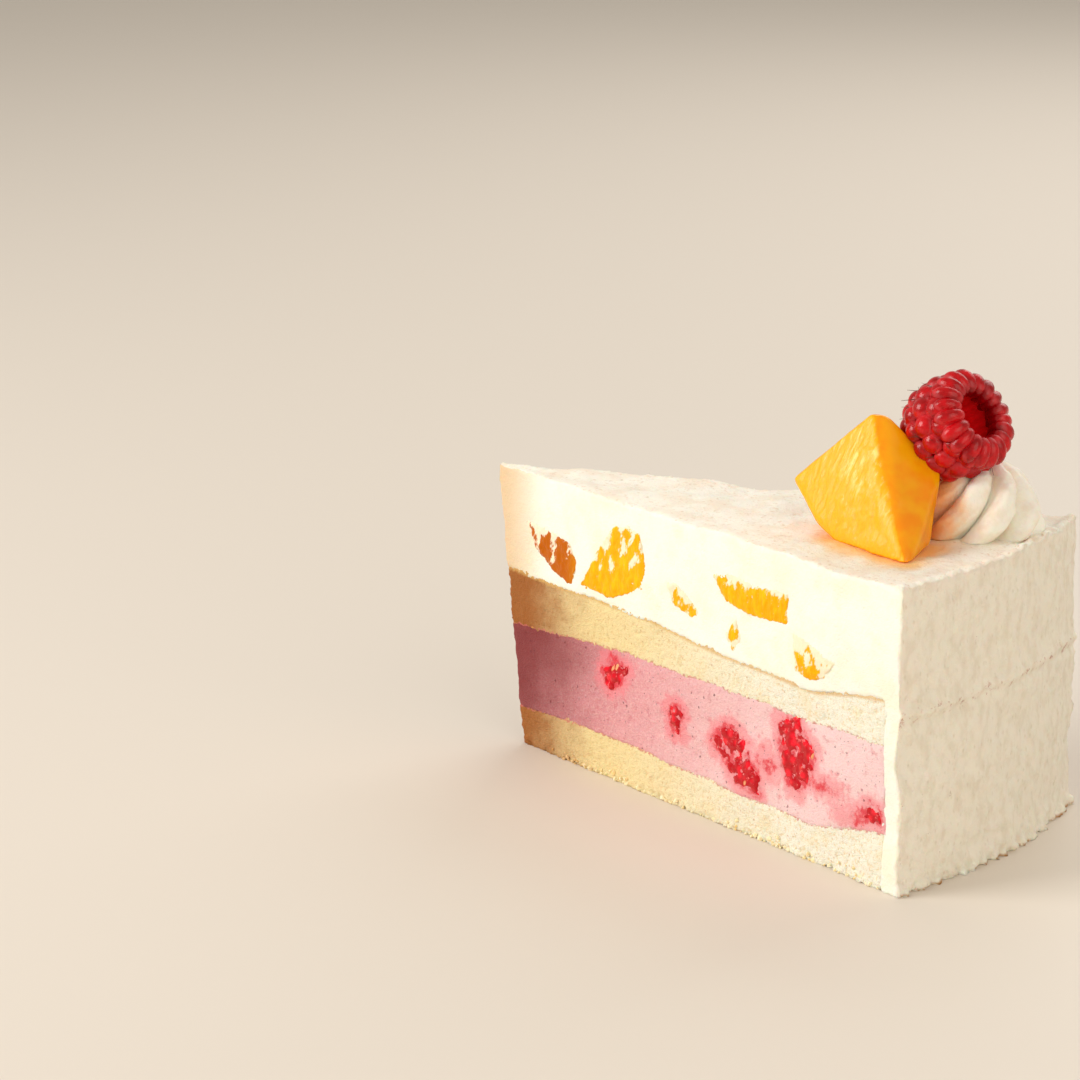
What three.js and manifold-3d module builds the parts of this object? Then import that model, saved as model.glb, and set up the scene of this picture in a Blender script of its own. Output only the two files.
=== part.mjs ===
// A slice of peach melba cake: one twelfth of a round cake of 26 cm, cut from tip to rim.
// From the bottom up it is sponge, raspberry mousse, sponge and peach cream, under one coat of
// whipped cream that runs over the top and down the rim. Peach and raspberry pieces lie in the
// fillings where the knife went through them. On the top, near the rim, stand a piped rosette, a
// raspberry with its hollow open, and a chunk of peach.
// Millimetres, +Z up. X runs from the tip to the rim, and -Y is the cut face with the large pieces.
import * as THREE from "three";
import { ConvexGeometry } from "three/addons/geometries/ConvexGeometry.js";
import { mergeVertices } from "three/addons/utils/BufferGeometryUtils.js";
import Module from "manifold-3d";

const wasm = await Module();
wasm.setup();

// ---- driving dimensions ----
const CAKE_RADIUS = 130;
const SLICES_IN_CAKE = 12;
const CAKE_HEIGHT = 62;
const COAT_ON_TOP = 4.5;
const COAT_ON_RIM = 4.6;
const CORE_RADIUS = CAKE_RADIUS - COAT_ON_RIM;
const TIP_RADIUS = 1.6; // the point of the slice is this far from the cake's centre, at the top
const TIP_SETBACK = 8; // the point leans out over its foot by this much
const GAP = 0.3; // between pieces that touch
const BELOW = -5; // a height under the cake's foot

// Heights of the layers' boundaries, at even steps from the tip to the rim.
const BASE_TOP = [8, 9.4, 9, 8.2, 8, 12];
const MOUSSE_TOP = [26.8, 28.8, 29.8, 29.9, 29.8, 30];
const SPONGE_TOP = [39, 39, 38.4, 36.4, 36, 39.6];
const CREAM_TOP = [0, 0.3, 0, -0.3, 0, 0.2].map((rise) => CAKE_HEIGHT - COAT_ON_TOP + rise);

const ROSETTE = { x: 114.4, y: 12.4, radius: 13.6, height: 15, folds: 8, depth: 0.3, lean: 1.1 };
const BERRY = { x: 111.4, y: 8.2, z: 84.3, radius: 10.9, length: 20.5, hollow: 6.2 };
const BERRY_AXIS = new THREE.Vector3(0.85, -0.08, 0.52); // from the closed end to the open one

const HALF_ANGLE = Math.PI / SLICES_IN_CAKE;

// ---- helpers ----

// A closed geometry as a solid that can be cut and joined.
function solidOf(geometry) {
  const bare = geometry.index ? geometry.toNonIndexed() : geometry.clone();
  bare.deleteAttribute("normal");
  bare.deleteAttribute("uv");
  const merged = mergeVertices(bare, 1e-4);
  return new wasm.Manifold(
    new wasm.Mesh({
      numProp: 3,
      vertProperties: new Float32Array(merged.attributes.position.array),
      triVerts: new Uint32Array(merged.index.array),
    }),
  );
}

function geometryOf(solid) {
  const mesh = solid.getMesh();
  const corners = new Float32Array(mesh.numVert * 3);
  for (let i = 0; i < mesh.numVert; i++) {
    const from = i * mesh.numProp;
    corners.set(mesh.vertProperties.subarray(from, from + 3), i * 3);
  }
  const geometry = new THREE.BufferGeometry();
  geometry.setAttribute("position", new THREE.BufferAttribute(corners, 3));
  geometry.setIndex(new THREE.BufferAttribute(mesh.triVerts, 1));
  geometry.computeVertexNormals();
  return geometry;
}

// Moves every corner of a geometry to where place(x, y, z) says.
function mapped(geometry, place) {
  const position = geometry.attributes.position;
  for (let i = 0; i < position.count; i++) {
    const to = place(position.getX(i), position.getY(i), position.getZ(i));
    position.setXYZ(i, to.x, to.y, to.z);
  }
  return geometry;
}

// A smooth curve through values at even steps, read at share t from 0 to 1.
function along(values, t) {
  const at = THREE.MathUtils.clamp(t, 0, 1) * (values.length - 1);
  const step = Math.min(Math.floor(at), values.length - 2);
  const ease = THREE.MathUtils.smoothstep(at - step, 0, 1);
  return THREE.MathUtils.lerp(values[step], values[step + 1], ease);
}

// Slow unevenness of a spread or cut surface, between about -1 and 1.
function waves(a, b) {
  return 0.5 * Math.sin(0.23 * a + 1.3 * Math.sin(0.11 * b)) + 0.5 * Math.sin(0.17 * b - 0.09 * a + 1.7);
}

// ---- the cake's body, before its layers are told apart ----

function sliceBody() {
  const steps = { along: 20, across: 6, up: 9 };
  const block = new THREE.BoxGeometry(1, 1, 1, steps.along, steps.across, steps.up);
  return solidOf(
    mapped(block, (x, y, z) => {
      const [share, side, up] = [x + 0.5, y * 2, z + 0.5];
      const height = up * CAKE_HEIGHT;
      const tip = TIP_RADIUS + TIP_SETBACK * (1 - up);
      const rim = CAKE_RADIUS - 0.5 + 0.5 * waves(height * 1.7, side * 30);
      const radius = THREE.MathUtils.lerp(tip, rim, share);
      const wander = 0.45 * Math.min(radius / 25, 1);
      const knife = wander * waves(radius * 1.1, height * 1.5 + 40 * Math.sign(side));
      const angle = side * HALF_ANGLE;
      const swell = up === 1 ? 0.5 * waves(radius * 1.2, side * 22) : 0;
      return {
        x: radius * Math.cos(angle) - knife * side * Math.sin(angle),
        y: radius * Math.sin(angle) + knife * side * Math.cos(angle),
        z: height + swell,
      };
    }),
  );
}

// All that lies under a layer boundary. It reaches past the cut faces and the rim.
function under(line) {
  const steps = { along: 22, across: 6 };
  const reach = CAKE_RADIUS + 6;
  const block = new THREE.BoxGeometry(1, 1, 1, steps.along, steps.across, 1);
  return solidOf(
    mapped(block, (x, y, z) => {
      const share = x + 0.5;
      const sideways = y * 2 * (14 + share * 30);
      const out = THREE.MathUtils.lerp(-6, Math.sqrt(reach * reach - sideways * sideways), share);
      const level = along(line, out / CORE_RADIUS) + 0.35 * waves(out * 1.3, sideways);
      return { x: out, y: sideways, z: z < 0 ? BELOW : level };
    }),
  );
}

// The round of the cake inside its coat.
function round(radius) {
  const drum = new THREE.CylinderGeometry(radius, radius, 2 * CAKE_HEIGHT, 96, 1);
  return solidOf(drum.rotateX(Math.PI / 2));
}

const body = sliceBody();
const inner = body.intersect(round(CORE_RADIUS - GAP));
function layer(low, high) {
  const filled = inner.intersect(under(high.map((z) => z - GAP)));
  return low ? filled.subtract(under(low)) : filled;
}
const layerBodies = {
  sponge_base: layer(null, BASE_TOP),
  raspberry_mousse: layer(BASE_TOP, MOUSSE_TOP),
  sponge_middle: layer(MOUSSE_TOP, SPONGE_TOP),
  peach_cream: layer(SPONGE_TOP, CREAM_TOP),
  cream_coat: body.subtract(under(CREAM_TOP).intersect(round(CORE_RADIUS))),
};

// ---- pieces of fruit that the knife went through ----

const NEAR = -1; // the cut face towards -Y
const FAR = 1;

// A piece that shows as an outline on a cut face: distances from the cake's centre, and heights.
// It goes in from the face by depth, and gets smaller there.
function inclusion({ face, depth, outline }, grow) {
  const shape = new THREE.Shape(outline.map(([along, up]) => new THREE.Vector2(along, up)));
  const geometry = new THREE.ExtrudeGeometry(shape, {
    depth: depth * 0.45 + 1,
    bevelEnabled: true,
    bevelThickness: depth * 0.55 + grow,
    bevelSize: 1.1,
    bevelOffset: grow - 1.1,
    bevelSegments: 2,
  });
  // The extrusion's own Z goes across the face, from 1 mm outside it inwards.
  geometry.rotateX(Math.PI / 2);
  mapped(geometry, (x, y, z) => ({ x, y: face * (y + 1), z }));
  if (face === NEAR) flip(geometry);
  geometry.rotateZ(face * HALF_ANGLE);
  return solidOf(geometry);
}

// Turns a mirrored geometry's faces out again.
function flip(geometry) {
  const position = geometry.attributes.position;
  for (let i = 0; i < position.count; i += 3) {
    const [a, b] = [i + 1, i + 2].map((n) => new THREE.Vector3().fromBufferAttribute(position, n));
    position.setXYZ(i + 1, b.x, b.y, b.z);
    position.setXYZ(i + 2, a.x, a.y, a.z);
  }
}

const PEACH_IN_CREAM = {
  peach_near_1: {
    face: NEAR,
    depth: 2.6,
    outline: [
      [11.5, 51.4], [19, 50.5], [26, 49], [29, 45.4], [27.6, 40.4], [21, 42], [15, 45.6],
    ],
  },
  peach_near_2: {
    face: NEAR,
    depth: 11,
    outline: [
      [31, 41.2], [36, 49], [41.5, 56], [46, 56.9], [49.6, 56.4], [52.2, 49.8], [51.4, 45],
      [41, 40.6],
    ],
  },
  peach_near_3: {
    face: NEAR,
    depth: 5,
    outline: [
      [59.6, 48.2], [63, 48.4], [66.4, 46], [70, 43.2], [66, 42.3], [61.2, 44.2],
    ],
  },
  peach_near_4: {
    face: NEAR,
    depth: 10,
    outline: [
      [74, 52.8], [78.4, 54.2], [88, 53.6], [96.4, 53.8], [96.2, 47.6], [86, 47.2], [78.2, 48.3],
    ],
  },
  peach_near_5: {
    face: NEAR,
    depth: 5,
    outline: [
      [78, 41.2], [81, 45], [82.8, 41.4], [80.8, 38.2],
    ],
  },
  peach_near_6: {
    face: NEAR,
    depth: 8,
    outline: [
      [98.4, 46.4], [103, 45.4], [110.8, 43], [107.6, 39.6], [104.8, 38.2], [99.7, 38.9],
    ],
  },
  peach_far_1: {
    face: FAR,
    depth: 3.5,
    outline: [
      [22, 47], [28, 51.6], [35.6, 48.6], [33.4, 42.4], [25, 43.2],
    ],
  },
  peach_far_2: {
    face: FAR,
    depth: 10,
    outline: [
      [43, 52.4], [53, 55.2], [61.6, 52.6], [59, 46.6], [49.6, 44.6], [44, 47.2],
    ],
  },
  peach_far_3: {
    face: FAR,
    depth: 6,
    outline: [
      [70, 44.6], [77, 46.8], [80.4, 42.8], [75, 39.4],
    ],
  },
  peach_far_4: {
    face: FAR,
    depth: 10,
    outline: [
      [85.4, 49], [89, 55.2], [99.6, 55.8], [103.4, 49.8], [95.6, 45.8],
    ],
  },
  peach_far_5: {
    face: FAR,
    depth: 6,
    outline: [
      [109, 46.4], [116, 48.2], [118.6, 43.8], [112, 41.8],
    ],
  },
};
const BERRY_IN_MOUSSE = {
  berry_near_1: {
    face: NEAR,
    depth: 4,
    outline: [
      [37.6, 24.4], [40.6, 27.6], [43, 26], [46.4, 26.2], [43.6, 21.8], [40.6, 20.2], [38.8, 21.6],
    ],
  },
  berry_near_2: {
    face: NEAR,
    depth: 3,
    outline: [
      [60.2, 21.4], [62.6, 22], [64.4, 20.6], [63.6, 16], [60.8, 16.6],
    ],
  },
  berry_near_3: {
    face: NEAR,
    depth: 7,
    outline: [
      [73.2, 17.4], [76.4, 20.8], [80.2, 22.2], [84.6, 19.6], [86.4, 15.6], [89.4, 13.6],
      [88.6, 9.8], [82, 10.2], [78.6, 13.6],
    ],
  },
  berry_near_4: {
    face: NEAR,
    depth: 7,
    outline: [
      [94, 26.2], [96.8, 28.4], [100.4, 29], [102.4, 25.6], [105.2, 24], [104.6, 17.8],
      [101, 13.8], [97.8, 14.8], [95.2, 19.4],
    ],
  },
  berry_near_5: {
    face: NEAR,
    depth: 5,
    outline: [
      [118.6, 13.6], [121.6, 16.6], [124, 16.4], [124.6, 13.6], [121.6, 13],
    ],
  },
  berry_far_1: {
    face: FAR,
    depth: 4,
    outline: [
      [29.4, 17], [33.6, 22.4], [39.4, 21], [40.2, 15.6], [34.6, 13.4],
    ],
  },
  berry_far_2: {
    face: FAR,
    depth: 7,
    outline: [
      [55, 16.4], [59, 25], [64.6, 26.4], [70.6, 22.6], [69.4, 15.6], [62, 11.8],
    ],
  },
  berry_far_3: {
    face: FAR,
    depth: 4,
    outline: [
      [82, 24.6], [86, 26.6], [88.4, 22.4], [84.6, 20],
    ],
  },
  berry_far_4: {
    face: FAR,
    depth: 7,
    outline: [
      [98, 15], [102, 22.6], [108.6, 24.2], [113, 18.6], [108.4, 12.6],
    ],
  },
};

// ---- the top: rosette, raspberry and peach ----

// A rosette of whipped cream from a star nozzle: leaning folds that wind to the middle.
function rosette() {
  const { radius, height, folds, depth, lean } = ROSETTE;
  const profile = [
    [0, 0], [0.5, 0], [0.9, 0], [0.99, 0.1], [1, 0.26], [0.96, 0.42],
    [0.87, 0.58], [0.74, 0.74], [0.56, 0.88], [0.34, 0.97], [0, 1],
  ];
  const points = profile.map(([out, up]) => new THREE.Vector2(out * radius, up * height));
  const geometry = new THREE.LatheGeometry(points, folds * 10);
  geometry.rotateX(Math.PI / 2);
  mapped(geometry, (x, y, z) => {
    const up = z / height;
    const angle = Math.atan2(y, x);
    const fold = Math.abs(Math.cos((folds / 2) * angle)) ** 0.6;
    const out = Math.hypot(x, y) * (1 - depth * (1 - fold) + 0.035 * Math.sin(2 * angle + up + 1));
    const turned = angle + lean * up;
    return {
      x: ROSETTE.x + out * Math.cos(turned),
      y: ROSETTE.y + out * Math.sin(turned),
      z: CAKE_HEIGHT - 1 + z * (0.94 + 0.06 * fold),
    };
  });
  return solidOf(geometry);
}

// The raspberry's outline from the closed end, round the lip and down the hollow to its floor.
// Grown outlines have no hollow. The mouth is at +length / 2.
function berryProfile(grow) {
  const { radius, length, hollow } = BERRY;
  const rows = 18;
  const wall = Array.from({ length: rows + 1 }, (_, i) => {
    const t = (i / rows) * 0.72 * Math.PI;
    return [(radius - 1 + grow) * Math.sin(t) ** 0.82, -Math.cos(t) * (0.49 * length + grow)];
  });
  const lip = [[0.72, 0.4], [0.66, 0.45], [0.6, 0.43]].map(([out, up]) => [out * radius, up * length]);
  const cup = [[1, 0.3], [0.92, 0.1], [0.72, -0.12], [0.4, -0.24], [0, -0.26]];
  const inside = grow ? [[0, 0.42 * length]] : cup.map(([out, up]) => [out * hollow, up * length]);
  return [...wall, ...lip, ...inside].map(([out, up]) => new THREE.Vector2(out, up));
}

// Where the drupelets sit: rings up the berry, each shifted from the last.
function drupelets() {
  const found = [];
  const { radius, length } = BERRY;
  const pitch = 4.7;
  const rings = 5;
  for (let ring = 0; ring < rings; ring++) {
    const t = ((ring + 0.35) / rings) * 0.74 * Math.PI;
    const out = (radius - 1) * Math.sin(t) ** 0.82;
    const count = Math.max(1, Math.round((2 * Math.PI * out) / pitch));
    for (let i = 0; i < count; i++) {
      const angle = ((i + (ring % 2) * 0.5 + 0.13 * Math.sin(7 * i + ring)) * 2 * Math.PI) / count;
      found.push(new THREE.Vector3().setFromCylindricalCoords(out, angle, -Math.cos(t) * length * 0.49));
    }
  }
  const lip = 19; // the long drupelets that curl over the mouth
  for (let i = 0; i < lip; i++) {
    const angle = ((i + 0.12 * Math.sin(5 * i)) * 2 * Math.PI) / lip;
    found.push(new THREE.Vector3().setFromCylindricalCoords(0.76 * radius, angle, 0.41 * length));
  }
  return found.map((centre) => new THREE.Vector3(centre.z, centre.x, centre.y));
}

function placeBerry(geometry) {
  const up = new THREE.Vector3(0, 0, 1);
  const turn = new THREE.Quaternion().setFromUnitVectors(up, BERRY_AXIS.clone().normalize());
  geometry.applyQuaternion(turn);
  return geometry.translate(BERRY.x, BERRY.y, BERRY.z);
}

function raspberry() {
  const geometry = new THREE.LatheGeometry(berryProfile(0), 56);
  geometry.rotateX(Math.PI / 2);
  const centres = drupelets();
  const reach = 3;
  const rise = 1.6;
  mapped(geometry, (x, y, z) => {
    const here = new THREE.Vector3(x, y, z);
    const near = Math.min(...centres.map((centre) => centre.distanceTo(here)));
    const bump = rise * Math.sqrt(Math.max(0, 1 - (near / reach) ** 2));
    const inside = Math.hypot(x, y) < BERRY.hollow * 1.03 && z < 0.36 * BERRY.length;
    const out = here.clone().normalize();
    return inside ? here : here.addScaledVector(out, bump - 0.4);
  });
  return solidOf(placeBerry(geometry));
}

// The room that the raspberry takes, a little larger than it is.
function berryRoom() {
  const margin = 1.6;
  return solidOf(placeBerry(new THREE.LatheGeometry(berryProfile(margin), 32).rotateX(Math.PI / 2)));
}

// A chunk of a peach half with flat cut sides: the hull of a small ball in each of its corners.
const PEACH_CORNERS = {
  left: [82.9, -5.8, 71.8],
  left_low: [91.6, -10.8, 65.6],
  foot_left: [100.8, -14, 61.6],
  foot_front: [115.6, -17.2, 61.6],
  foot_right: [112.7, -5.5, 61.6],
  ridge: [104, -10, 76.2],
  top_left: [99.2, -3.7, 86.6],
  top_right: [101.4, -2.4, 86.2],
  right: [111.8, 0.2, 75.8],
  back_low: [94.5, 3.6, 62.4],
  back_high: [100, 2.8, 80],
};
const PEACH_SOFTNESS = 1; // radius of its corners
function peachChunk(grow) {
  const ball = new THREE.IcosahedronGeometry(PEACH_SOFTNESS + grow, 1).attributes.position;
  const points = [];
  for (const corner of Object.values(PEACH_CORNERS)) {
    const centre = new THREE.Vector3(...corner);
    for (let i = 0; i < ball.count; i++) {
      points.push(new THREE.Vector3().fromBufferAttribute(ball, i).add(centre));
    }
  }
  return solidOf(new ConvexGeometry(points));
}

// ---- everything put together ----

const cream = new THREE.Color(0.93, 0.89, 0.8);
const COLOURS = {
  sponge_base: [new THREE.Color(0.93, 0.8, 0.52), 0.9],
  raspberry_mousse: [new THREE.Color(0.8, 0.42, 0.5), 0.7],
  sponge_middle: [new THREE.Color(0.93, 0.8, 0.52), 0.9],
  peach_cream: [cream, 0.6],
  cream_coat: [cream, 0.65],
  cream_rosette: [cream, 0.5],
  raspberry: [new THREE.Color(0.62, 0.04, 0.09), 0.35],
  peach_chunk: [new THREE.Color(0.98, 0.6, 0.08), 0.3],
};
const cake = new THREE.Group();
function add(name, solid, [colour, roughness]) {
  const material = new THREE.MeshStandardMaterial({ color: colour, roughness, metalness: 0 });
  const mesh = new THREE.Mesh(geometryOf(solid), material);
  mesh.name = name;
  cake.add(mesh);
}

// Cuts a filling round its pieces, and adds the pieces that are left in it.
function addFilling(name, pieces, look) {
  let filling = layerBodies[name];
  for (const [piece, shape] of Object.entries(pieces)) {
    add(piece, layerBodies[name].intersect(inclusion(shape, 0)), look);
    filling = filling.subtract(inclusion(shape, GAP));
  }
  add(name, filling, COLOURS[name]);
}

add("sponge_base", layerBodies.sponge_base, COLOURS.sponge_base);
addFilling("raspberry_mousse", BERRY_IN_MOUSSE, COLOURS.raspberry);
add("sponge_middle", layerBodies.sponge_middle, COLOURS.sponge_middle);
addFilling("peach_cream", PEACH_IN_CREAM, COLOURS.peach_chunk);
add("cream_coat", layerBodies.cream_coat, COLOURS.cream_coat);

const underTop = body.translate([0, 0, GAP]);
const chunk = peachChunk(0).subtract(underTop);
add("peach_chunk", chunk, COLOURS.peach_chunk);
add("raspberry", raspberry().subtract(peachChunk(GAP)), COLOURS.raspberry);
const seated = rosette().subtract(underTop).subtract(berryRoom()).subtract(peachChunk(GAP));
add("cream_rosette", seated, COLOURS.cream_rosette);

// The origin is under the middle of the slice's box.
const box = new THREE.Box3().setFromObject(cake);
cake.position.set(-(box.min.x + box.max.x) / 2, -(box.min.y + box.max.y) / 2, -box.min.z);

export default cake;
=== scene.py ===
import math
import random

import bmesh
import bpy
from mathutils import Matrix, Vector, noise
from mathutils.bvhtree import BVHTree


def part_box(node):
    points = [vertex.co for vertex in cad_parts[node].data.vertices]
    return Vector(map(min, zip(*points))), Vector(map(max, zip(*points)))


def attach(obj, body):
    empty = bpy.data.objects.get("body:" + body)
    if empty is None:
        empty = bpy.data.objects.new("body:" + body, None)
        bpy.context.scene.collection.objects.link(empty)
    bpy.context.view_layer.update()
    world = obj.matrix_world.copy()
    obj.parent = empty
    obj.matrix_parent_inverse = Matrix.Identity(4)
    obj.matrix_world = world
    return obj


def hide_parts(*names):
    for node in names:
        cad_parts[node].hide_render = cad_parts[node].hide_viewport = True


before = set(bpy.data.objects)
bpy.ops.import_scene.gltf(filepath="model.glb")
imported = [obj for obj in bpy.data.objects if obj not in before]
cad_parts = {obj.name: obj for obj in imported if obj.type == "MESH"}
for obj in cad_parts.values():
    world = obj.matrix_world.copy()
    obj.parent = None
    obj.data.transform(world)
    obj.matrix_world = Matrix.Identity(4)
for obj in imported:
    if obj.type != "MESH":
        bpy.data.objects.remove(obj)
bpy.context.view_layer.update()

# ---- Sponge: two thin discs of yellow sponge, baked and then stacked with the fillings ----
# The lower one carries the slice and the middle one parts the fillings. Both show an open crumb
# where the knife went through, and the lower one keeps its browned crust underneath.

MM = 0.001
CAKE_RADIUS = 129.8 * MM
HALF_ANGLE = math.radians(15)
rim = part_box("cream_coat")[1]
CENTRE = Vector((rim[0] - CAKE_RADIUS, 0, 0))  # of the round cake that the slice comes from
FACE_NEAR = Vector((-math.sin(HALF_ANGLE), -math.cos(HALF_ANGLE), 0))  # points out of a cut face
FACE_FAR = Vector((-math.sin(HALF_ANGLE), math.cos(HALF_ANGLE), 0))
WELD = 1e-6  # points nearer to each other than this are one point


def copy_of(name, *nodes):
    """One mesh of some solids of the cake, with their loose triangles joined up."""
    work = bmesh.new()
    for node in nodes:
        work.from_mesh(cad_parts[node].data)
    bmesh.ops.remove_doubles(work, verts=work.verts, dist=WELD)
    return piece_from(name, work)


def piece_from(name, work):
    """A piece whose mesh is a bmesh, which is freed."""
    mesh = bpy.data.meshes.new(name)
    work.to_mesh(mesh)
    work.free()
    piece = bpy.data.objects.new(name, mesh)
    bpy.context.scene.collection.objects.link(piece)
    return piece


def shade_smooth(piece):
    piece.data.polygons.foreach_set("use_smooth", [True] * len(piece.data.polygons))


def store(piece, name, values):
    """Gives each point of a piece a value, which its material reads by name."""
    layer = piece.data.attributes.new(name, "FLOAT", "POINT")
    layer.data.foreach_set("value", values)


def settle(piece):
    """Turns a piece's modifiers into its mesh."""
    bpy.context.view_layer.update()
    shaped = piece.evaluated_get(bpy.context.evaluated_depsgraph_get())
    piece.data = bpy.data.meshes.new_from_object(shaped)
    piece.modifiers.clear()
    shade_smooth(piece)


def filled_out(piece, grow, grain):
    """Grows a piece by as much as closes the gap to its neighbours, on an even mesh of a grain."""
    swell = piece.modifiers.new("swell", "DISPLACE")
    swell.strength = grow
    swell.mid_level = 0
    even = piece.modifiers.new("even", "REMESH")
    even.mode = "VOXEL"
    even.voxel_size = grain * 1
    settle(piece)


def tuck_in(piece, up_and_down, outwards):
    """Lengthens a layer into the ones that it touches, so that no groove opens between them."""
    for vertex in piece.data.vertices:
        normal = vertex.normal
        radial = (vertex.co - CENTRE).xy.normalized().to_3d()
        if abs(normal.z) > 0.3 and vertex.co.z > 1 * MM:
            vertex.co.z += math.copysign(up_and_down, normal.z)
        if normal.dot(radial) > 0.5:
            vertex.co += radial * outwards


def roughen(piece, height_at):
    """Moves each point out by height_at(point, normal), in millimetres, and none under the table."""
    mesh = piece.data
    normals = [vertex.normal.copy() for vertex in mesh.vertices]
    for vertex, normal in zip(mesh.vertices, normals):
        point = (vertex.co - CENTRE) / MM
        vertex.co += normal * height_at(point, normal) * MM
        vertex.co.z = max(0.0, vertex.co.z)
    mesh.update()


def lumps(point, size, octaves=3):
    """Noise between about -1 and 1, in lumps of a size."""
    return noise.fractal(point / size, 0.9, 2.1, octaves)


class Nearness:
    """How near a point is to some solids of the cake, from 1 on them to 0 at a reach."""

    def __init__(self, nodes, reach):
        work = bmesh.new()
        for node in nodes:
            work.from_mesh(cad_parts[node].data)
        self.tree = BVHTree.FromBMesh(work)
        self.reach = reach
        work.free()

    def at(self, place):
        found = self.tree.find_nearest(place, self.reach)
        return 1 - found[3] / self.reach if found[0] else 0.0

    def store(self, piece, name):
        store(piece, name, [self.at(vertex.co) for vertex in piece.data.vertices])


class Signal:
    """A value or colour in a material, which Python's own signs work on."""

    def __init__(self, tree, socket):
        self.tree = tree
        self.socket = socket

    def node(self, kind, settings, sockets, output=0):
        made = self.tree.nodes.new("ShaderNode" + kind)
        for key, value in settings.items():
            setattr(made, key, value)
        for key, value in sockets.items():
            if isinstance(value, Signal):
                self.tree.links.new(value.socket, made.inputs[key])
            else:
                made.inputs[key].default_value = value
        return Signal(self.tree, made.outputs[output])

    def math(self, operation, a, b=0.0):
        return self.node("Math", {"operation": operation}, {0: a, 1: b})

    def __add__(self, other):
        return self.math("ADD", self, other)

    def __radd__(self, other):
        return self.math("ADD", other, self)

    def __sub__(self, other):
        return self.math("SUBTRACT", self, other)

    def __rsub__(self, other):
        return self.math("SUBTRACT", other, self)

    def __mul__(self, other):
        return self.math("MULTIPLY", self, other)

    def __rmul__(self, other):
        return self.math("MULTIPLY", other, self)

    def rise(self, low, high):
        """From 0 at low to 1 at high, smoothly. It falls where high is the lower one."""
        limits = {"From Min": low, "From Max": high}
        return self.node("MapRange", {"interpolation_type": "SMOOTHSTEP"}, dict(limits, Value=self))

    def noise(self, size, detail=3.0, rough=0.55):
        """Noise between 0 and 1 in lumps of a size in millimetres, at this position."""
        sockets = {"Vector": self, "Scale": 1 / size, "Detail": detail, "Roughness": rough}
        return self.node("TexNoise", {}, sockets)

    def dots(self, spacing, low, high):
        """1 within low of scattered points that are spacing apart, and 0 beyond high."""
        sockets = {"Vector": self, "Scale": 1 / spacing}
        return self.node("TexVoronoi", {}, sockets).rise(high / spacing, low / spacing)

    def drawn_out(self, direction, times):
        """This position, with its patterns drawn out along a direction."""
        way = Vector(direction).normalized()
        share = self.share_of(way) * (1 / times - 1)
        shift = self.node("VectorMath", {"operation": "SCALE"}, {0: way, "Scale": share})
        return self.node("VectorMath", {"operation": "ADD"}, {0: self, 1: shift})

    def shifted(self, amount):
        """This position, moved by an amount along all three axes at once."""
        return self.node("VectorMath", {"operation": "ADD"}, {0: self, 1: amount})

    def share_of(self, direction):
        """How much of this vector points along a direction."""
        return self.node("VectorMath", {"operation": "DOT_PRODUCT"}, {0: self, 1: direction}, "Value")

    def between(self, low, high):
        """The colour low where this is 0 and high where it is 1."""
        return self.node("Mix", {"data_type": "RGBA"}, {0: self, 6: low, 7: high}, 2)


def paint(red, green, blue):
    """A colour as a screen shows it, 0 to 255, in the values that a shader takes."""
    shares = [value / 255 for value in (red, green, blue)]
    return [s / 12.92 if s <= 0.04045 else ((s + 0.055) / 1.055) ** 2.4 for s in shares] + [1]


class Finish:
    """A material under way, with the places that its patterns are laid out by, in millimetres."""

    def __init__(self, name, **constants):
        self.material = bpy.data.materials.new(name)
        self.material.use_nodes = True
        self.tree = self.material.node_tree
        self.shader = self.tree.nodes["Principled BSDF"]
        for key, value in constants.items():
            self.shader.inputs[key.replace("_", " ")].default_value = value
        start = Signal(self.tree, None)
        coordinates = start.node("TexCoord", {}, {}, "Object")
        shifts = {"Location": [-CENTRE.x / MM, 0, 0], "Scale": [1 / MM] * 3}
        self.place = start.node("Mapping", {}, dict(shifts, Vector=coordinates))
        self.normal = start.node("NewGeometry", {}, {}, "Normal")
        self.x, self.y, self.z = (self.place.node("SeparateXYZ", {}, {0: self.place}, i) for i in range(3))

    def stored(self, name):
        return self.place.node("Attribute", {"attribute_name": name}, {}, "Fac")

    def facing(self, direction):
        """How far the surface faces a direction: 1 straight at it, 0 at right angles."""
        return self.normal.share_of(direction)

    def put(self, socket, signal):
        self.tree.links.new(signal.socket, self.shader.inputs[socket])

    def bump(self, height, depth):
        """Fine relief of a depth in millimetres, too small for the mesh."""
        sockets = {"Height": height, "Distance": depth * MM, "Strength": 1.0}
        self.put("Normal", self.place.node("Bump", {}, sockets))


def dress(piece, nodes, finish):
    """Gives a piece its finish, and puts it in the place of its solids."""
    piece.data.materials.clear()
    piece.data.materials.append(finish.material)
    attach(piece, "root")
    if nodes:
        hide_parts(*nodes)


CUT_GRAIN = 0.55 * MM  # of the mesh on the cut layers
# A relief is worked out in millimetres, round the middle of the cake.
PORE_SPACING = 2.6
PORE_DEPTH = 0.5
RAGGED_FOOT = 2.5  # height that the knife left ragged
OVERLAP = 0.9 * MM  # of a layer with the ones that it touches


def crumb_relief(point, normal):
    """Fine crumb, low swells and open pores, with a ragged foot."""
    pore = PORE_DEPTH * max(0.0, 1 - noise.voronoi(point / PORE_SPACING)[0][0] / 0.27)
    upright = abs(normal.z) < 0.5
    ragged = 0.9 * max(0.0, 1 - point.z / RAGGED_FOOT) * lumps(point, 1.6, 2) if upright else 0.0
    return 0.22 * lumps(point, 0.9) + 0.15 * lumps(point, 3.5, 2) - pore + ragged


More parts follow.
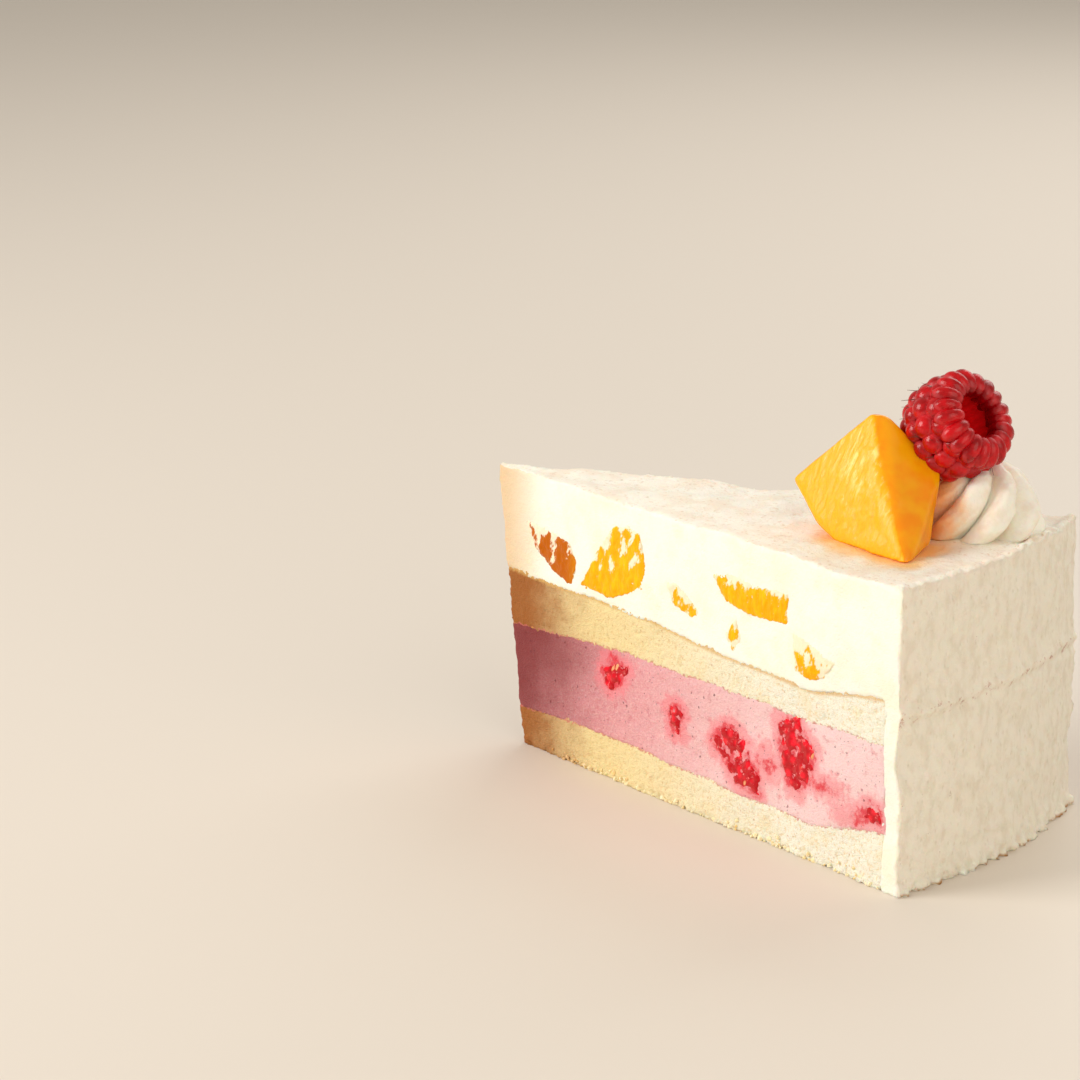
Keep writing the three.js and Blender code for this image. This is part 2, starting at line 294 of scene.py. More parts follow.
def sponge_finish(name, crust_under, skin_over):
    """Pale crumb, with painted shade that turns it brown at the tip, and shares of browned crust under it
    and skin over it.
    """
    sponge = Finish(name, Roughness=0.92, Subsurface_Weight=0.1, Subsurface_Scale=2 * MM)
    place = sponge.place
    grain = place.noise(0.7, 4, 0.65)
    patches = place.noise(5, 3)
    pale = sponge.x.rise(34, 100).between(paint(249, 226, 166), paint(255, 251, 232))
    crumb = (grain.rise(0.5, 0.34) * 0.5).between(pale, paint(234, 196, 126))
    crumb = (patches.rise(0.5, 0.7) * 0.3).between(crumb, paint(250, 224, 162))
    # Painted shade: darker tan spots stand for the shade in the crumb's open pores.
    pores = place.dots(1.5, 0.06, 0.34) * place.noise(4, 2).rise(0.4, 0.6) * 0.6
    crumb = pores.between(crumb, paint(196, 140, 62))
    # Painted shade: the crumb turns brown towards the tip.
    tip = (sponge.x + 14 * (patches - 0.5)).rise(38, 9) * 0.95
    crumb = tip.between(crumb, paint(160, 86, 10))
    crust = (sponge.z + 1.6 * (patches - 0.5)).rise(0.5, 0.1) * patches.rise(0.52, 0.6) * crust_under
    crumb = (crust * 0.7).between(crumb, paint(206, 150, 84))
    skin = (sponge.stored("skin") + 0.9 * (grain - 0.5)).rise(0.4, 0.95) * skin_over
    crumb = skin.between(crumb, paint(226, 178, 104))
    juice = (sponge.stored("juice") + 1.4 * (place.noise(0.9, 4, 0.65) - 0.5)).rise(0.8, 1.0) * 0.7
    sponge.put("Base Color", juice.between(crumb, paint(214, 110, 110)))
    sponge.bump(grain + 0.7 * place.noise(0.3, 2), depth=0.45)
    return sponge


for node, crust_under, skin_over in (("sponge_base", 1.0, 0.0), ("sponge_middle", 0.0, 0.75)):
    disc = copy_of(node + "_crumb", node)
    tuck_in(disc, OVERLAP, OVERLAP)
    filled_out(disc, grow=0.1 * MM, grain=CUT_GRAIN)
    roughen(disc, crumb_relief)
    Nearness(["peach_cream"], reach=1.4 * MM).store(disc, "skin")
    Nearness(["raspberry_mousse"], reach=1.4 * MM).store(disc, "juice")
    dress(disc, [node], sponge_finish(node, crust_under, skin_over))

# ---- Crumbs: bits of the lower sponge that the knife broke off ----
# They cling along its lower edge on both cut faces, and have the sponge's colours, with the same painted
# shade towards the tip.

CRUMBS = 340
CRUMB_REACH = (0.09, 0.965)  # shares of the radius, from behind the tip to the coat
CRUMB_SIZE = (0.2 * MM, 0.45 * MM)
CLIMB = 2.2 * MM  # how high up the face the odd crumb sticks
draw = random.Random(12)
work = bmesh.new()
for _ in range(CRUMBS):
    side = draw.choice((-1, 1))
    out = draw.uniform(*CRUMB_REACH) ** 0.8 * CAKE_RADIUS
    size = draw.uniform(*CRUMB_SIZE) * draw.choice((1, 1, 1, 1.6))
    face = FACE_NEAR if side < 0 else FACE_FAR
    edge = Vector((math.cos(HALF_ANGLE), side * math.sin(HALF_ANGLE), 0))
    height = size * 0.6 + draw.uniform(0, 1) ** 4 * CLIMB
    centre = CENTRE + edge * out + face * draw.uniform(-0.3, 0.15) * MM + Vector((0, 0, height))
    ball = bmesh.ops.create_icosphere(work, subdivisions=1, radius=size, matrix=Matrix.Translation(centre))
    for vertex in ball["verts"]:
        vertex.co += (vertex.co - centre) * 0.8 * lumps(vertex.co / MM, 0.6)
        vertex.co.z = max(0.0, vertex.co.z)
crumbs = piece_from("clinging_crumbs", work)
crumb_finish = Finish("loose_crumb", Roughness=0.95, Subsurface_Weight=0.1, Subsurface_Scale=1 * MM)
tint = crumb_finish.place.noise(2, 2).rise(0.4, 0.7).between(paint(255, 242, 204), paint(244, 212, 146))
# Painted shade: darker towards the tip, like the sponge.
tint = crumb_finish.x.rise(40, 12).between(tint, paint(206, 140, 52))
crumb_finish.put("Base Color", tint)
dress(crumbs, [], crumb_finish)

# ---- Raspberry mousse: whipped cream folded with crushed berries and set between the sponges ----
# It is a fine pink foam, darker at the tip, where the shade of the rest of the cake is painted into it.
# Small seeds and flecks of skin sit in it, it has a few small bubbles, and juice runs into it from the
# larger pieces of berry.

BERRY_BITS = [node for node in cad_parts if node.startswith("berry_")]
# Patches of crushed berry on the near cut: distance from the middle of the cake, height, half
# width and half height, in millimetres.
MASHED = ((91.5, 17, 9, 7), (108, 17, 11, 5), (117, 12.5, 10, 4.5))
MASH_STRENGTH = 1.12
BUBBLE_SPACING = 3.4
BUBBLE_DEPTH = 0.55
JUICE_REACH = 4.5 * MM


def foam_relief(point, normal):
    """Fine foam with low swells and a few bubbles."""
    bubble = BUBBLE_DEPTH * max(0.0, 1 - noise.voronoi(point / BUBBLE_SPACING)[0][0] / 0.15)
    return 0.1 * lumps(point, 0.8) + 0.16 * lumps(point, 4, 2) - bubble


def stained(place):
    """Nearness to a piece of berry, or to a place where crushed berry is folded into the foam."""
    point = (place - CENTRE) / MM
    out = point.xy.length
    spots = [
        MASH_STRENGTH - Vector(((out - x) / wide, (point.z - z) / high)).length
        for x, z, wide, high in MASHED
    ]
    return max(close_to_berry.at(place), *spots) if point.y < 0 else close_to_berry.at(place)


close_to_berry = Nearness(BERRY_BITS, JUICE_REACH)
mousse = copy_of("mousse_foam", "raspberry_mousse", *BERRY_BITS)
tuck_in(mousse, 0, OVERLAP)
filled_out(mousse, grow=0.18 * MM, grain=CUT_GRAIN)
roughen(mousse, foam_relief)
store(mousse, "juice", [stained(vertex.co) for vertex in mousse.data.vertices])
Nearness(["sponge_base", "sponge_middle"], reach=2 * MM).store(mousse, "crumb")

foam = Finish("raspberry_mousse", Roughness=0.72, Subsurface_Weight=0.15, Subsurface_Scale=1.5 * MM)
place = foam.place
grain = place.noise(0.5, 4, 0.65)
patches = place.noise(9, 3)
depth = foam.x + 14 * (patches - 0.5) - 0.5 * (foam.z - 20)
pink = depth.rise(30, 105).between(paint(228, 150, 156), paint(251, 212, 212))
pink = (grain.rise(0.42, 0.68) * 0.3).between(pink, paint(255, 230, 224))
pink = (place.noise(1.3, 4).rise(0.56, 0.7) * 0.35).between(pink, paint(200, 100, 112))
# Painted shade: the foam turns dark red towards the tip.
pink = (depth.rise(48, 8) * 0.94).between(pink, paint(124, 26, 26))
mash = place.noise(2.6, 5, 0.7)
seepage = foam.stored("juice") + 1.5 * (mash - 0.5)
pink = (seepage.rise(0.2, 0.7) * 0.6).between(pink, paint(246, 128, 138))
pink = (seepage.rise(0.75, 1.1) * 0.88).between(pink, paint(226, 30, 52))
light_pulp = place.noise(0.9, 5, 0.7).rise(0.55, 0.66) * seepage.rise(0.6, 0.8) * 0.6
pink = light_pulp.between(pink, paint(255, 170, 168))
shaken = place.shifted(1.4 * (place.noise(0.7, 3) - 0.5))
flecks = shaken.dots(1.2, 0.05, 0.2) * place.noise(4, 2).rise(0.42, 0.5)
pink = (flecks * 0.85).between(pink, paint(92, 22, 30))
seeds = shaken.dots(3.4, 0.14, 0.4) * 0.8
pink = seeds.between(pink, paint(104, 20, 34))
crumb = (foam.stored("crumb") + 1.1 * (place.noise(0.8, 4, 0.65) - 0.5)).rise(0.86, 0.93)
# Crumb colour where the mousse meets the sponge; its tan towards the tip is painted shade, like the sponge's
# tip.
bisque = foam.x.rise(10, 80).between(paint(214, 150, 66), paint(255, 240, 200))
foam.put("Base Color", crumb.between(pink, bisque))
foam.bump(grain + 0.6 * place.noise(0.3, 2), depth=0.3)
dress(mousse, ["raspberry_mousse"], foam)

# ---- Cream: a thick filling over the middle sponge, and a coat round the top and the rim ----
# Both are the same whipped cream, so the cut runs through them without a line. The coat is spread
# with a palette knife in two goes, is pitted all over, and has a lumpy lip along its top edge.

PEACH_BITS = [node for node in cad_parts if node.startswith(("peach_near", "peach_far"))]
SEAM_HEIGHT = 37.0  # where the rim's coat was put on in two goes
LIP_WIDTH = 2.8
PIT_DEPTH = 0.28
FLARE_HEIGHT = 5  # of the coat where it meets the table


def cream_relief(point, normal):
    """Smooth where the knife cut, and elsewhere pitted, lumpy at the edges and spread at the foot."""
    cut = max(normal.dot(FACE_NEAR), normal.dot(FACE_FAR))
    if cut > 0.7:
        return 0.05 * lumps(point, 1.2) + 0.2 * lumps(point, 7, 2)
    pit = noise.voronoi(Vector((point.x / 1.7, point.y / 1.7, point.z / 2.3)))[0][0]
    pitted = 0.14 * lumps(point, 0.9) - PIT_DEPTH * max(0.0, 1 - pit / 0.3)
    pitted += 0.55 * max(0.0, 1 - abs(cut - 0.55) / 0.3) * lumps(point, 1.5, 2)
    inwards = CAKE_RADIUS / MM - math.hypot(point.x, point.y)
    if inwards < 2 and normal.z < 0.6:
        seam = point.z - SEAM_HEIGHT - 1.2 * lumps(point, 14, 2)
        ledge = 0.5 * math.exp(-((seam / 1.2) ** 2)) - 0.35 * math.exp(-(((seam + 1.8) / 0.9) ** 2))
        flare = max(0.0, 1 - point.z / FLARE_HEIGHT) * (0.8 + 1.5 * lumps(point, 2.2))
        foot = flare if normal.z > -0.6 else 0.0
        return pitted + 0.22 * lumps(point, 2) + 0.45 * lumps(point, 11, 2) + ledge + foot
    lip = max(0.0, 1 - abs(inwards - 0.9) / LIP_WIDTH) if normal.z > 0.4 else 0.0
    return pitted + 0.45 * lumps(point, 9, 2) + lip * (0.7 + 1.1 * lumps(point, 2))


cream = copy_of("whipped_cream", "peach_cream", "cream_coat", *PEACH_BITS)
filled_out(cream, grow=0.2 * MM, grain=CUT_GRAIN)
roughen(cream, cream_relief)
Nearness(["peach_chunk"], reach=8 * MM).store(cream, "peach_juice")

whipped = Finish("whipped_cream", Roughness=0.6, Subsurface_Weight=0.2, Subsurface_Scale=3 * MM)
place = whipped.place
grain = place.noise(0.8, 4)
patches = place.noise(7, 4)
white = patches.rise(0.4, 0.7).between(paint(255, 251, 236), paint(254, 247, 224))
# Painted shade: the cream turns darker and browner towards the tip.
white = (whipped.x.rise(20, 3) * 0.9).between(white, paint(224, 192, 148))
beige = (patches.rise(0.4, 0.66) * 0.9).between(paint(253, 247, 233), paint(248, 234, 215))
beige = (place.noise(1.1, 4).rise(0.56, 0.7) * 0.55).between(beige, paint(228, 202, 174))
beige = (place.dots(2.3, 0.1, 0.45) * 0.5).between(beige, paint(214, 186, 154))
on_top = whipped.facing((0, 0, 1)).rise(0.45, 0.8)
shade = on_top.between(white, beige)
on_rim = whipped.facing((1, 0, 0)).rise(0.6, 0.85)
upright = place.drawn_out((0, 0, 1), 1.7)
ivory = (upright.noise(2.2, 4).rise(0.42, 0.7) * 0.6).between(paint(242, 234, 218), paint(226, 214, 193))
# Painted shade: small darker beige-grey dots stand for the shade in the coat's pits.
ivory = (upright.dots(1.5, 0.06, 0.42) * 0.35).between(ivory, paint(204, 190, 162))
bits = place.noise(1.7, 5, 0.7)
spots = bits.rise(0.66, 0.7) * place.noise(9, 2).rise(0.46, 0.54)
ivory = (spots * 0.6).between(ivory, paint(150, 112, 82))
height = whipped.z + 3 * (patches - 0.5)
at_seam = height.rise(SEAM_HEIGHT - 2.5, SEAM_HEIGHT - 1) * height.rise(SEAM_HEIGHT + 1.5, SEAM_HEIGHT)
ivory = (bits.rise(0.55, 0.64) * at_seam * 0.7).between(ivory, paint(184, 128, 108))
shade = on_rim.between(shade, ivory)
browned = height.rise(1, 0.2) * on_rim * patches.rise(0.44, 0.52)
shade = browned.between(shade, paint(186, 130, 72))
stain = (whipped.stored("peach_juice") + 0.7 * (patches - 0.5)).rise(0.3, 1.05) * 0.85
shade = stain.between(shade, paint(255, 190, 88))
whipped.put("Base Color", shade)
whipped.bump(grain + 0.6 * place.noise(0.35, 2), depth=0.2)
dress(cream, ["peach_cream", "cream_coat"], whipped)

# ---- Peach in the filling: pieces of preserved peach that the knife cut through ----
# Their wet orange flesh is level with the cut. White cream is drawn over it in thin smears, and the
# edges are torn.

FRUIT_GRAIN = 0.35 * MM
SMALL_PIECE = 14  # millimetres, under which a piece is mostly smeared over
COVER_SMALL = 0.08
COVER_LARGE = -0.03
COVER_RISE = 0.2  # how much more of its top than of its foot the cream covers
in_cream = Nearness(["peach_cream"], reach=1.5 * MM)


def torn_relief(point, normal):
    """Level with the cut but for small lumps, and sunk where it meets the cream."""
    if max(normal.dot(FACE_NEAR), normal.dot(FACE_FAR)) < 0.7:
        return 0.4 * lumps(point, 1.8)
    edge = in_cream.at(point * MM + CENTRE)
    return 0.16 - 0.12 * edge + 0.22 * lumps(point, 1.5)


flesh = Finish("cut_peach", Subsurface_Weight=0.15, Subsurface_Scale=2 * MM, Specular_IOR_Level=0.12)
place = flesh.place
fibres = place.drawn_out((0, 0, 1), 2.6).noise(1.3, 4)
orange = fibres.rise(0.4, 0.7).between(paint(253, 174, 0), paint(255, 194, 6))
# Painted shade: the flesh turns darker towards the tip.
orange = flesh.x.rise(34, 24).between(orange, paint(192, 98, 0))
smears = place.drawn_out((0.3, -0.1, 1), 2).noise(2.4, 5, 0.6)
covered = (smears + flesh.stored("cover") + 0.08 * flesh.stored("edge")).rise(0.64, 0.7)
flesh.put("Base Color", (covered * 0.93).between(orange, paint(254, 240, 212)))
flesh.put("Roughness", 0.28 + 0.35 * covered)
flesh.bump(fibres, depth=0.3)
for node in PEACH_BITS:
    bit = copy_of(node + "_flesh", node)
    reach = max(bit.dimensions) / MM
    filled_out(bit, grow=0.32 * MM, grain=FRUIT_GRAIN)
    in_cream.store(bit, "edge")
    heights = [vertex.co.z for vertex in bit.data.vertices]
    low, high = min(heights), max(heights)
    least = COVER_SMALL if reach < SMALL_PIECE else COVER_LARGE
    store(bit, "cover", [least + COVER_RISE * (z - low) / (high - low) for z in heights])
    roughen(bit, torn_relief)
    dress(bit, [node], flesh)

# ---- Raspberry in the mousse: crushed pieces of berry, with their drupelets and seeds open ----
# They are wet and crimson, with pale seeds, and stand a little out of the cut.

CRUSHED_DRUPELET = 2.4
in_mousse = Nearness(["raspberry_mousse"], reach=1.6 * MM)


def crushed_relief(point, normal):
    """Small drupelets and torn pulp, sunk where it meets the mousse."""
    drupelet = noise.voronoi(point / CRUSHED_DRUPELET)[0][0]
    edge = in_mousse.at(point * MM + CENTRE)
    return 0.4 - 0.6 * drupelet + 0.35 * lumps(point, 1.4) - 0.25 * edge


crushed = Finish(
    "crushed_raspberry", Roughness=0.14, Subsurface_Weight=0.1, Subsurface_Scale=1 * MM,
    Specular_IOR_Level=0.3,
)
place = crushed.place
red = place.dots(2.2, 0.3, 1.3).between(paint(190, 0, 20), paint(250, 14, 42))
# Painted highlights: pale pink patches over the wet crimson pulp.
red = (place.noise(1.2, 5, 0.7).rise(0.58, 0.68) * 0.7).between(red, paint(255, 130, 130))
pips = place.drawn_out((0.5, 0.1, 1), 2.2).dots(2.6, 0.3, 0.5)
crushed.put("Base Color", pips.between(red, paint(246, 170, 120)))
for node in BERRY_BITS:
    bit = copy_of(node + "_pulp", node)
    filled_out(bit, grow=0.3 * MM, grain=FRUIT_GRAIN)
    roughen(bit, crushed_relief)
    dress(bit, [node], crushed)

# ---- Rosette: whipped cream from a star nozzle, turned once round as it was piped ----
# Its folds lean as they climb, and close over a low middle that the raspberry sits in.

ROSETTE_PLACE = CENTRE + Vector((114.4, 12.4, 61.6)) * MM
ROSETTE_RADIUS = 13.3 * MM
ROSETTE_HEIGHT = 15 * MM
FOLDS = 8
FOLD_DEPTH = 0.42
FOLD_STEPS = 24
LEAN = 1.15  # radians that a fold turns from its foot to its top
ROSETTE_SIDE = (
    (0.86, 0.0), (0.98, 0.08), (1.0, 0.26), (0.95, 0.44), (0.85, 0.62), (0.7, 0.78), (0.52, 0.91),
    (0.32, 1.0), (0.12, 0.97), (0.0, 0.95),
)


def folded(place):
    """Where a point of the plain dome goes: each fold is round, and lies a little over the next."""
    up = place.z / ROSETTE_HEIGHT
    angle = math.atan2(place.y, place.x)
    turn_of_fold = angle * FOLDS / (2 * math.pi)
    share = turn_of_fold - math.floor(turn_of_fold)
    fold = math.sin(math.pi * share ** 0.8) ** 0.6
    ripple = lumps(place / MM, 5, 2)
    out = place.xy.length * (1 - FOLD_DEPTH * (1 - fold) + 0.07 * ripple)
    turned = angle + LEAN * up ** 0.8
    height = place.z * (0.9 + 0.1 * fold + 0.05 * ripple)
    return Vector((out * math.cos(turned), out * math.sin(turned), height))


def spun(outline, radius, height, cuts, steps):
    """A bmesh turned once round from an outline of shares of a radius and of a height."""
    work = bmesh.new()
    side = [work.verts.new((out * radius, 0, up * height)) for out, up in outline]
    edges = [work.edges.new(pair) for pair in zip(side, side[1:])]
    bmesh.ops.subdivide_edges(work, edges=edges, cuts=cuts, smooth=1.0)
    bmesh.ops.spin(
        work, geom=work.verts[:] + work.edges[:], axis=(0, 0, 1), cent=(0, 0, 0), steps=steps,
        angle=2 * math.pi, use_merge=True,
    )
    bmesh.ops.remove_doubles(work, verts=work.verts, dist=WELD)
    return work


work = spun(ROSETTE_SIDE, ROSETTE_RADIUS, ROSETTE_HEIGHT, cuts=5, steps=FOLDS * FOLD_STEPS)
foot = [edge for edge in work.edges if edge.is_boundary]
bmesh.ops.contextual_create(work, geom=foot)
for vertex in work.verts:
    vertex.co = folded(vertex.co)
bmesh.ops.recalc_face_normals(work, faces=work.faces)
bmesh.ops.translate(work, verts=work.verts, vec=ROSETTE_PLACE)
rosette = piece_from("piped_rosette", work)
shade_smooth(rosette)
Nearness(["peach_chunk"], reach=9 * MM).store(rosette, "peach_juice")

piped = Finish("piped_cream", Roughness=0.5, Subsurface_Weight=0.25, Subsurface_Scale=2 * MM)
grain = piped.place.noise(0.9, 4)
patches = piped.place.noise(5, 4)
white = patches.rise(0.4, 0.7).between(paint(252, 247, 234), paint(242, 230, 210))
stain = (piped.stored("peach_juice") + 0.8 * (patches - 0.5)).rise(0.25, 0.85) * 0.85
piped.put("Base Color", stain.between(white, paint(255, 178, 88)))
piped.bump(grain + patches, depth=0.2)
dress(rosette, ["cream_rosette"], piped)

# ---- Raspberry: a whole berry with its core pulled out, lying on the rosette and the peach ----
# It is a cup of drupelets in rings. Those of the last ring are long and curl over the mouth, the
# hollow is smooth and deep red, and fine dark styles still stand between the drupelets.

BERRY_CENTRE = CENTRE + Vector((111.1, 7.8, 83.8)) * MM
BERRY_AXIS = Vector((0.85, -0.08, 0.52)).normalized()  # from the closed end to the mouth
BERRY_RADIUS = 10.7 * MM
BERRY_LENGTH = 19 * MM
HOLLOW = 6.0 * MM
DRUPELET = 2.45 * MM
DRUPELET_DEPTH = 1.5 * MM  # from the berry's outside to the middles of its drupelets
PACKING = 1.62  # drupelet sizes from one drupelet to the next round a ring
RINGS = 6
LIP_COUNT = 19
LIP_RADIUS = 7.5 * MM
LIP_HEIGHT = 0.29 * BERRY_LENGTH
STYLES = 46
CUP_STEPS = 80
draw = random.Random(4)


def turned_to(aim):
    """The turn that takes the z axis to a direction."""
    return aim.to_track_quat("Z", "Y").to_matrix()


berry_place = Matrix.Translation(BERRY_CENTRE) @ turned_to(BERRY_AXIS).to_4x4()


def berry_wall(along):
    """Distance from the axis and height of the berry's wall, from its closed end (0) to its lip (1)."""
    angle = along * 0.74 * math.pi
    return (BERRY_RADIUS - DRUPELET_DEPTH) * math.sin(angle) ** 0.8, -math.cos(angle) * BERRY_LENGTH * 0.44


def add_drupelet(work, centre, aim, size, stretch):
    """One rounded drupelet. It stores how far each point is down its side, from 0 at its top to 1."""
    shape = Matrix.Diagonal([size * share for share in stretch])
    place = Matrix.Translation(centre) @ (aim @ shape).to_4x4()
    ball = bmesh.ops.create_icosphere(work, subdivisions=3, radius=1)
    layer = work.verts.layers.float["side"]
    for vertex in ball["verts"]:
        vertex[layer] = math.acos(max(-1, min(1, vertex.co.z))) / (math.pi / 2)
    bmesh.ops.transform(work, matrix=place, verts=ball["verts"])


work = bmesh.new()
work.verts.layers.float.new("side")
for ring in range(RINGS):
    out, up = berry_wall((ring + 0.25) / RINGS)
    count = max(1, round(2 * math.pi * out / (PACKING * DRUPELET)))
    for step in range(count):
        angle = (step + 0.5 * (ring % 2) + draw.uniform(-0.12, 0.12)) * 2 * math.pi / count
        spoke = Vector((math.cos(angle), math.sin(angle), 0))
        centre = spoke * (out - 0.3 * MM) + Vector((0, 0, up))
        outwards = (spoke * out + Vector((0, 0, up * 0.9))).normalized()
        add_drupelet(work, centre, turned_to(outwards), DRUPELET * draw.uniform(0.92, 1.08), (1, 1, 0.9))
for step in range(LIP_COUNT):
    angle = (step + draw.uniform(-0.1, 0.1)) * 2 * math.pi / LIP_COUNT
    spoke = Vector((math.cos(angle), math.sin(angle), 0))
    centre = spoke * LIP_RADIUS + Vector((0, 0, LIP_HEIGHT))
    outwards = (spoke * 0.7 + Vector((0, 0, 1))).normalized()
    sideways = Vector((0, 0, 1)).cross(spoke)
    across = sideways.cross(outwards)
    aim = Matrix((across, sideways, outwards)).transposed()
    add_drupelet(work, centre, aim, DRUPELET * draw.uniform(0.95, 1.05), (1.3, 0.76, 1.05))
bmesh.ops.transform(work, matrix=berry_place, verts=work.verts)
drupelets = piece_from("raspberry_drupelets", work)
shade_smooth(drupelets)

skin = Finish(
    "raspberry_skin", Subsurface_Weight=0.15, Subsurface_Scale=1 * MM, Specular_IOR_Level=0.25,
    Coat_Weight=0.2, Coat_Roughness=0.12,
)
side = skin.stored("side") + 0.3 * (skin.place.noise(1.2, 3) - 0.5)
red = skin.place.noise(3, 3).rise(0.35, 0.65).between(paint(156, 0, 6), paint(204, 6, 18))
# Painted sheen: a pale pink ring down each drupelet's side, where its fuzz catches light at a glancing
# angle; it is a little rougher there too.
painted_sheen = side.rise(0.5, 0.7) * side.rise(0.9, 0.74)
# Painted shade: darker down the drupelets' sides, in the crevices where they meet.
red = (side.rise(0.8, 1.2) * 0.6).between(red, paint(104, 0, 6))
red = (painted_sheen * 0.26).between(red, paint(226, 84, 92))
skin.put("Base Color", red)
skin.put("Roughness", 0.2 + 0.3 * painted_sheen)
skin.bump(skin.place.noise(0.5, 3), depth=0.08)
dress(drupelets, ["raspberry"], skin)

CUP = (  # the hollow, over the lip and down between the drupelets
    (0.0, -0.2), (0.5, -0.19), (0.85, -0.08), (1.0, 0.12), (1.1, 0.28), (1.3, 0.36), (1.5, 0.3),
    (1.52, 0.1), (1.25, -0.28), (0.6, -0.36), (0.0, -0.37),
)
work = spun(CUP, HOLLOW, BERRY_LENGTH, cuts=3, steps=CUP_STEPS)
bmesh.ops.recalc_face_normals(work, faces=work.faces)
for vertex in work.verts:
    angle = math.atan2(vertex.co.y, vertex.co.x)
    out = vertex.co.xy.length
    if out > 0.1 * MM:
        vertex.co.xy *= 1 + 0.05 * math.cos(LIP_COUNT * angle)
bmesh.ops.transform(work, matrix=berry_place, verts=work.verts)
cup = piece_from("raspberry_hollow", work)
shade_smooth(cup)
inner = Finish("raspberry_inner_skin", Roughness=0.5, Subsurface_Weight=0.6, Subsurface_Scale=3 * MM)
inner.put("Base Color", inner.place.noise(2, 3).rise(0.3, 0.7).between(paint(235, 0, 10), paint(255, 6, 20)))
dress(cup, [], inner)

work = bmesh.new()
for step in range(STYLES):
    along = draw.uniform(0.12, 0.95)
    out, up = berry_wall(along)
    angle = draw.uniform(0, 2 * math.pi)
    spoke = Vector((math.cos(angle), math.sin(angle), 0))
    root = spoke * (out + 0.9 * MM) + Vector((0, 0, up))
    aim = (root.normalized() + Vector([draw.uniform(-0.8, 0.8) for _ in range(3)])).normalized()
    length = draw.uniform(1.6, 2.9) * MM
    place = Matrix.Translation(root + aim * length / 2) @ turned_to(aim).to_4x4()
    bmesh.ops.create_cone(
        work, cap_ends=True, segments=4, radius1=0.09 * MM, radius2=0.04 * MM, depth=length, matrix=place
    )
bmesh.ops.transform(work, matrix=berry_place, verts=work.verts)
styles = piece_from("raspberry_styles", work)
dry = Finish("dry_style", Roughness=0.7, Base_Color=paint(96, 52, 30))
dress(styles, [], dry)

# ---- Peach chunk: a thick piece of preserved peach, cut with flat sides ----
# One side is rough and pale where the flesh tore along its fibres, and the others are smooth and
# deep orange. It is wet, and its corners are rounded.

TORN_SIDE = Vector((-0.2, -0.89, 0.41))  # points out of it
FIBRES = Vector((0.22, 0.37, 0.9))  # the way that they run over the torn side
CHUNK_GRAIN = 0.4 * MM
CORNER_ROUNDS = 26  # times that the mesh is smoothed, which rounds the corners


def chunk_relief(point, normal):
    """Low swells, and fibres that stand up on the torn side."""
    torn = max(0.0, normal.dot(TORN_SIDE) - 0.75) * 4
    across = point - FIBRES * point.dot(FIBRES) * 0.7
    return 0.14 * lumps(point, 5, 2) + 0.16 * torn * lumps(across, 0.9)


chunk = copy_of("peach_chunk_flesh", "peach_chunk")
even = chunk.modifiers.new("even", "REMESH")
even.mode = "VOXEL"
even.voxel_size = CHUNK_GRAIN
smooth = chunk.modifiers.new("soft_corners", "SMOOTH")
smooth.factor = 0.5
smooth.iterations = CORNER_ROUNDS
settle(chunk)
roughen(chunk, chunk_relief)
wet = Finish(
    "wet_peach", Subsurface_Weight=0.45, Subsurface_Scale=4 * MM, Subsurface_Radius=(1, 0.5, 0.08),
    Specular_IOR_Level=0.3, Coat_Weight=0.12, Coat_Roughness=0.1,
)
torn = wet.facing(TORN_SIDE).rise(0.74, 0.92)
fibres = wet.place.drawn_out(FIBRES, 5).noise(1.0, 5, 0.65)
rags = wet.place.noise(6, 3)
smooth_flesh = rags.rise(0.35, 0.65).between(paint(255, 150, 0), paint(255, 172, 0))
upper = (wet.z + 0.3 * wet.x + 8 * (rags - 0.5)).rise(99, 107)
frayed = fibres.rise(0.5, 0.62) * rags.rise(0.36, 0.56) * upper
rough_flesh = (frayed * 0.8).between(paint(254, 186, 0), paint(254, 232, 140))
wet.put("Base Color", torn.between(smooth_flesh, rough_flesh))
wet.put("Roughness", 0.22 + 0.3 * torn * fibres)
wet.bump(fibres * torn, depth=0.3)
dress(chunk, ["peach_chunk"], wet)

# ---- The stage: a pale table, soft studio light and the camera ----
# The camera looks down a little at the near cut face and the rim. Its lens is as long as the picture
# asks for, so that near and far edges keep their slant.

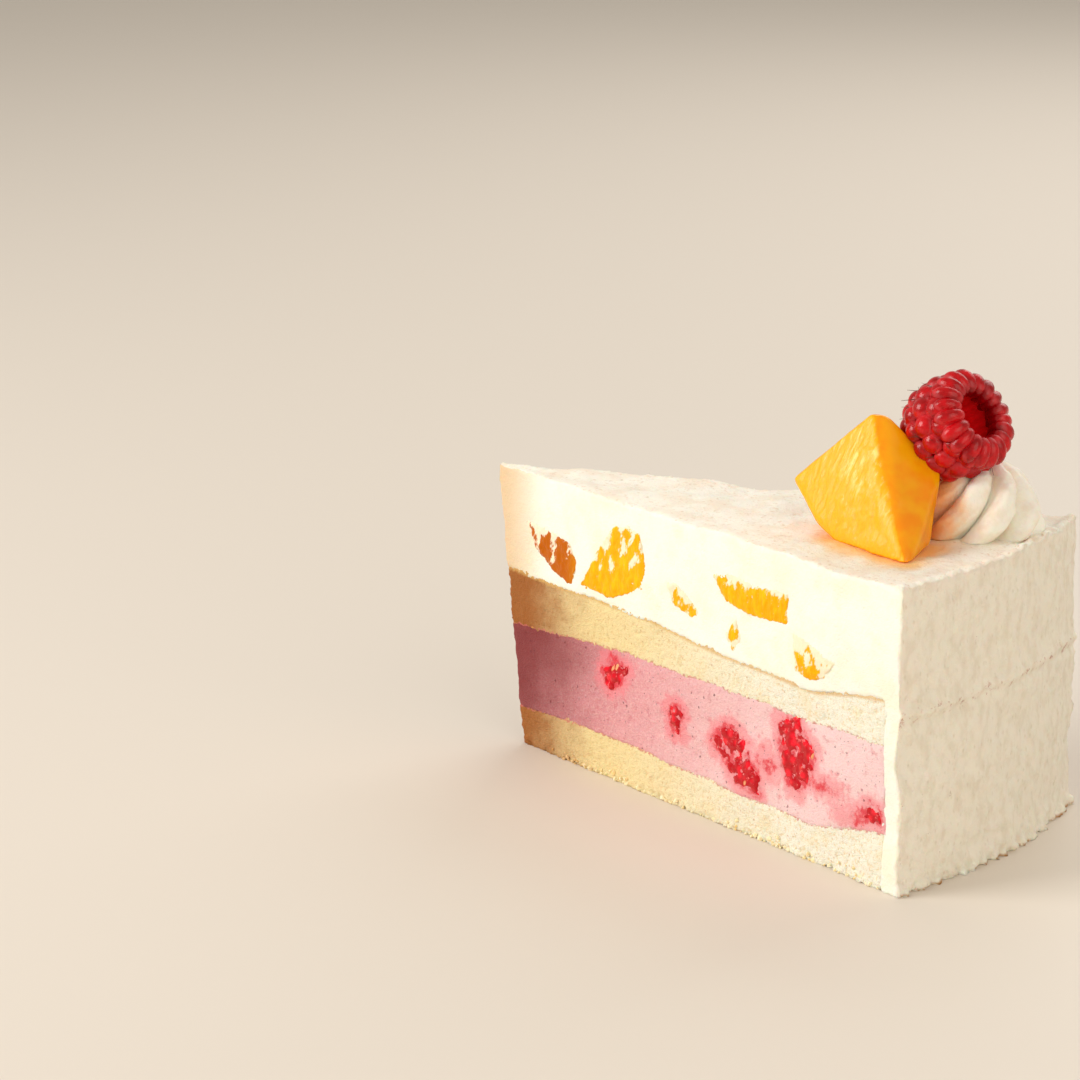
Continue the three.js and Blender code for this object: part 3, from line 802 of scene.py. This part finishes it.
CAMERA_PLACE = Vector((475.46, -601.59, 257.03)) * MM + CENTRE
CAMERA_AZIMUTH = math.radians(37.59)
CAMERA_HEIGHT = math.radians(15.51)
CAMERA_ROLL = math.radians(-0.5)
FOCAL_PIXELS = 3632.42
PICTURE_PIXELS = 1080
SENSOR_WIDTH = 36
TABLE_RADIUS = 6
LIT_POINT = Vector((0, 0, 0.04))

work = bmesh.new()
bmesh.ops.create_circle(work, cap_ends=True, segments=96, radius=TABLE_RADIUS)
table = piece_from("table", work)
top = Finish("pale_table", Roughness=0.6, Base_Color=paint(226, 216, 204))
table.data.materials.append(top.material)

world = bpy.data.worlds.new("studio")
bpy.context.scene.world = world
world.use_nodes = True
world.node_tree.nodes["Background"].inputs["Color"].default_value = paint(255, 249, 238)
world.node_tree.nodes["Background"].inputs["Strength"].default_value = 0.47
bpy.context.scene.view_settings.view_transform = "Standard"

for name, place, size, power, tint in (
    ("window", (-0.7, -0.75, 0.6), 0.6, 9.8, (1, 0.98, 0.95)),
    ("fill", (0.9, -0.35, 0.5), 0.9, 4, (1, 0.93, 0.82)),
    ("back", (-0.1, 0.9, 0.7), 0.8, 4, (1, 0.98, 0.95)),
):
    light = bpy.data.lights.new(name, "AREA")
    light.size = size
    light.energy = power
    light.color = tint
    lamp = bpy.data.objects.new(name, light)
    bpy.context.scene.collection.objects.link(lamp)
    lamp.location = place
    lamp.rotation_euler = (LIT_POINT - Vector(place)).to_track_quat("-Z", "Y").to_euler()

camera = bpy.data.objects.new("camera", bpy.data.cameras.new("camera"))
bpy.context.scene.collection.objects.link(camera)
back = Vector((
    math.sin(CAMERA_AZIMUTH) * math.cos(CAMERA_HEIGHT),
    -math.cos(CAMERA_AZIMUTH) * math.cos(CAMERA_HEIGHT),
    math.sin(CAMERA_HEIGHT),
))
right = Vector((math.cos(CAMERA_AZIMUTH), math.sin(CAMERA_AZIMUTH), 0))
upright = Matrix((right, back.cross(right), back)).transposed()
rolled = upright @ Matrix.Rotation(CAMERA_ROLL, 3, "Z")
camera.matrix_world = Matrix.Translation(CAMERA_PLACE) @ rolled.to_4x4()
camera.data.lens = FOCAL_PIXELS / PICTURE_PIXELS * SENSOR_WIDTH
camera.data.sensor_width = SENSOR_WIDTH
camera.data.clip_end = 20
bpy.context.scene.camera = camera
